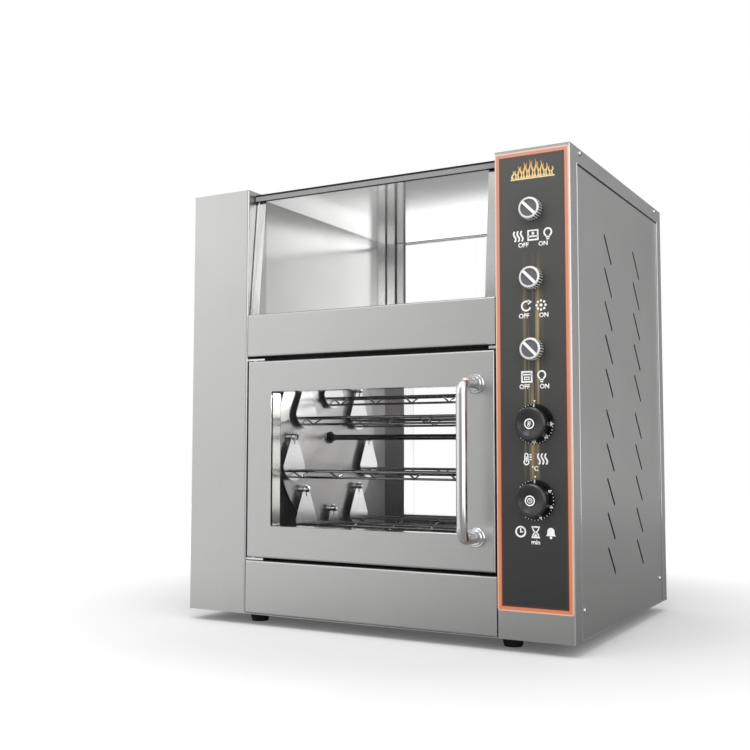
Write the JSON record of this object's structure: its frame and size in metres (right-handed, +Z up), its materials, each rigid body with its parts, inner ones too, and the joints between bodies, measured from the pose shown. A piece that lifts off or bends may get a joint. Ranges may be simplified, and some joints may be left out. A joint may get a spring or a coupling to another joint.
{
  "type": "sweet potato roaster",
  "caption": "Countertop electric sweet potato roaster: steel cabinet with a glazed hinged oven door, a turning wheel of hanging wire baskets, a lit display box above and a control column.",
  "frame": {"origin": "on the floor, under the middle of the whole object's box", "axes": "+Z up, -Y towards the oven door (front), +X to the control column (right as seen from the front)"},
  "size_m": [0.684, 0.5902, 0.725],
  "materials": {
    "brushed_stainless": "brushed stainless sheet",
    "oven_steel": "bright stainless liner sheet",
    "mirror_steel": "mirror polished stainless sheet",
    "chrome": "polished chrome plate",
    "black_wire": "black coated steel",
    "bronze": "sintered bronze bush",
    "heater_sheath": "heat darkened tube sheath",
    "lamp_glass": "heat proof lamp cover",
    "opal": "opal acrylic lamp cover",
    "clear_glass": "clear toughened glass",
    "track_aluminium": "satin anodised extrusion",
    "fascia_print": "satin charcoal printed panel",
    "knob_silver": "satin turned aluminium with knurled side",
    "knob_black": "semi gloss moulded phenolic",
    "switch_plastic": "black moulded nylon",
    "motor_grey": "grey painted die casting",
    "foot_rubber": "matt black rubber",
    "gasket_silicone": "dark silicone seal",
    "mineral_wool": "mineral wool slab"
  },
  "bodies": {
    "cabinet": {"base_pan": "brushed_stainless", "left_front_column": "brushed_stainless", "right_front_column": "brushed_stainless", "left_side_panel": "brushed_stainless", "right_side_panel": "brushed_stainless", "column_caps": "brushed_stainless", "roof_panel": "brushed_stainless", "plinth_panel": "brushed_stainless", "sill_panel": "brushed_stainless", "back_panel": "brushed_stainless", "rear_sleeves": "brushed_stainless", "display_walls": "brushed_stainless", "display_floor": "brushed_stainless", "motor_bracket": "brushed_stainless", "oven_front_frame": "oven_steel", "oven_liner": "oven_steel", "crumb_tray": "oven_steel", "display_ceiling": "mirror_steel", "hinge_blocks": "chrome", "door_keeper": "chrome", "case_screws": "chrome", "axle_bushes": "bronze", "heating_elements": "heater_sheath", "oven_lamp": "lamp_glass", "display_lamp": "opal", "rear_window_glass": "clear_glass", "display_front_glass": "clear_glass", "rear_door_tracks": "track_aluminium", "control_fascia": "fascia_print", "rotary_switches": "switch_plastic", "thermostat": "switch_plastic", "timer": "switch_plastic", "cable_gland": "switch_plastic", "gearmotor": "motor_grey", "feet": "foot_rubber", "insulation": "mineral_wool"},
    "door": {"door_skin": "brushed_stainless", "door_liner": "oven_steel", "door_glass": "clear_glass", "door_gasket": "gasket_silicone", "door_handle": "chrome", "handle_rosettes": "chrome"},
    "wheel": {"wheel_plates": "mirror_steel", "axle": "black_wire", "basket_pins": "black_wire"},
    "left_rear_door": {"left_rear_door": "clear_glass"},
    "right_rear_door": {"right_rear_door": "clear_glass"},
    "basket_1": {"basket_1": "black_wire"},
    "basket_2": {"basket_2": "black_wire"},
    "basket_3": {"basket_3": "black_wire"},
    "basket_4": {"basket_4": "black_wire"},
    "basket_5": {"basket_5": "black_wire"},
    "basket_6": {"basket_6": "black_wire"},
    "basket_7": {"basket_7": "black_wire"},
    "basket_8": {"basket_8": "black_wire"},
    "cabinet_light_knob": {"cabinet_light_knob": "knob_silver"},
    "rotation_knob": {"rotation_knob": "knob_silver"},
    "oven_light_knob": {"oven_light_knob": "knob_silver"},
    "temperature_knob": {"temperature_knob": "knob_black"},
    "timer_knob": {"timer_knob": "knob_black"}
  },
  "joints": [
    {"name": "door_hinge", "type": "hinge", "parent": "cabinet", "child": "door", "pos_m": [-0.2105, -0.2309, 0.2715], "axis": [0, 0, -1], "range_deg": [0, 120]},
    {"name": "wheel_turn", "type": "hinge", "parent": "cabinet", "child": "wheel", "pos_m": [0, -0.0009, 0.309], "axis": [1, 0, 0], "continuous": true},
    {"name": "left_rear_door_slide", "type": "slide", "parent": "cabinet", "child": "left_rear_door", "axis": [1, 0, 0], "range_m": [0, 0.188]},
    {"name": "right_rear_door_slide", "type": "slide", "parent": "cabinet", "child": "right_rear_door", "axis": [-1, 0, 0], "range_m": [0, 0.188]},
    {"name": "basket_1_swing", "type": "hinge", "parent": "wheel", "child": "basket_1", "pos_m": [0, -0.1309, 0.309], "axis": [1, 0, 0], "continuous": true},
    {"name": "basket_2_swing", "type": "hinge", "parent": "wheel", "child": "basket_2", "pos_m": [0, -0.09282, 0.21708], "axis": [1, 0, 0], "continuous": true},
    {"name": "basket_3_swing", "type": "hinge", "parent": "wheel", "child": "basket_3", "pos_m": [0, -0.0009, 0.179], "axis": [1, 0, 0], "continuous": true},
    {"name": "basket_4_swing", "type": "hinge", "parent": "wheel", "child": "basket_4", "pos_m": [0, 0.09102, 0.21708], "axis": [1, 0, 0], "continuous": true},
    {"name": "basket_5_swing", "type": "hinge", "parent": "wheel", "child": "basket_5", "pos_m": [0, 0.1291, 0.309], "axis": [1, 0, 0], "continuous": true},
    {"name": "basket_6_swing", "type": "hinge", "parent": "wheel", "child": "basket_6", "pos_m": [0, 0.09102, 0.40092], "axis": [1, 0, 0], "continuous": true},
    {"name": "basket_7_swing", "type": "hinge", "parent": "wheel", "child": "basket_7", "pos_m": [0, -0.0009, 0.439], "axis": [1, 0, 0], "continuous": true},
    {"name": "basket_8_swing", "type": "hinge", "parent": "wheel", "child": "basket_8", "pos_m": [0, -0.09282, 0.40092], "axis": [1, 0, 0], "continuous": true},
    {"name": "cabinet_light_knob_turn", "type": "hinge", "parent": "cabinet", "child": "cabinet_light_knob", "pos_m": [0.2835, -0.2387, 0.6325], "axis": [0, 1, 0], "range_deg": [0, 90]},
    {"name": "rotation_knob_turn", "type": "hinge", "parent": "cabinet", "child": "rotation_knob", "pos_m": [0.2835, -0.2387, 0.5325], "axis": [0, 1, 0], "range_deg": [0, 90]},
    {"name": "oven_light_knob_turn", "type": "hinge", "parent": "cabinet", "child": "oven_light_knob", "pos_m": [0.2835, -0.2387, 0.43], "axis": [0, 1, 0], "range_deg": [0, 90]},
    {"name": "temperature_knob_turn", "type": "hinge", "parent": "cabinet", "child": "temperature_knob", "pos_m": [0.2835, -0.2387, 0.3235], "axis": [0, 1, 0], "range_deg": [0, 270]},
    {"name": "timer_knob_turn", "type": "hinge", "parent": "cabinet", "child": "timer_knob", "pos_m": [0.2835, -0.2387, 0.216], "axis": [0, 1, 0], "range_deg": [0, 300]}
  ],
  "couplings": [
    {"joint": "basket_1_swing", "follows": "wheel_turn", "ratio": -1},
    {"joint": "basket_2_swing", "follows": "wheel_turn", "ratio": -1},
    {"joint": "basket_3_swing", "follows": "wheel_turn", "ratio": -1},
    {"joint": "basket_4_swing", "follows": "wheel_turn", "ratio": -1},
    {"joint": "basket_5_swing", "follows": "wheel_turn", "ratio": -1},
    {"joint": "basket_6_swing", "follows": "wheel_turn", "ratio": -1},
    {"joint": "basket_7_swing", "follows": "wheel_turn", "ratio": -1},
    {"joint": "basket_8_swing", "follows": "wheel_turn", "ratio": -1}
  ]
}
